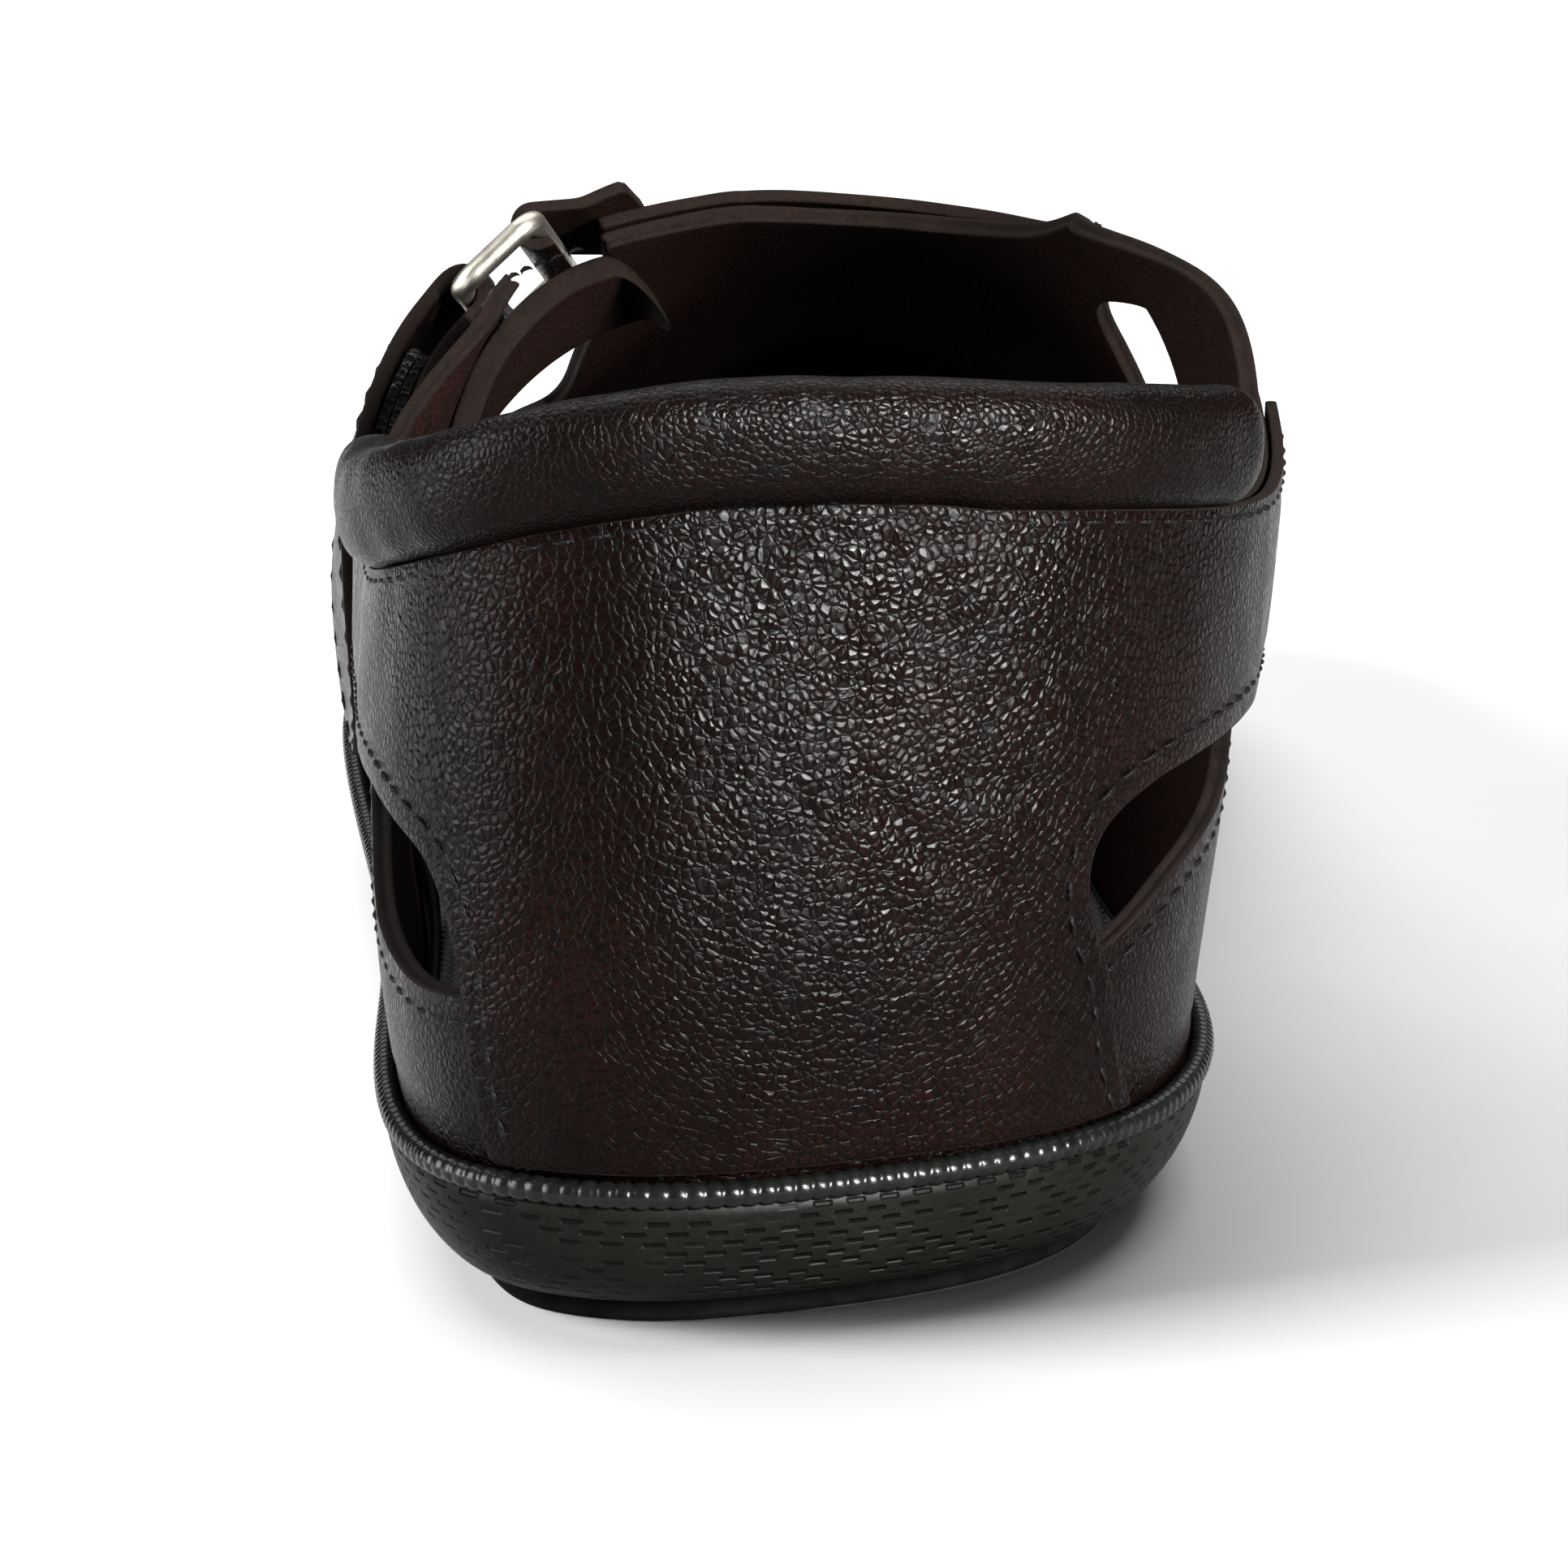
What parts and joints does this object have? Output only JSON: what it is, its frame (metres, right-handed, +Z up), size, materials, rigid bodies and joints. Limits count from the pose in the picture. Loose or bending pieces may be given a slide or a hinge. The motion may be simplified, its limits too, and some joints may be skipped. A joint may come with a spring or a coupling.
{
  "type": "closed-heel sandal",
  "caption": "Left leather sandal with closed toe, closed padded heel, cut-out sides and a hook-and-loop instep strap folded through a metal ring.",
  "frame": {"origin": "middle of the shoe's box, on the floor it stands on", "axes": "+Y from heel to toe, +Z up, +X to the inner (medial) side of this left shoe"},
  "size_m": [0.1012, 0.2772, 0.0866],
  "materials": {
    "leather": "pebbled, half gloss",
    "sole": "satin, fine embossed dashes",
    "tread": "matte",
    "lining": "woven, dark grey",
    "hook": "hook and loop tape",
    "metal": "antique silver"
  },
  "bodies": {
    "root": {"upper": "leather", "heel_piece": "leather", "collar": "leather", "instep_panel": "leather", "ring": "metal", "ring_tab": "leather", "closure_strap": "leather", "loop_pad": "hook", "hook_pad": "hook", "underlay_flap": "leather", "midsole": "sole", "outsole": "tread", "insole": "lining"}
  },
  "joints": []
}
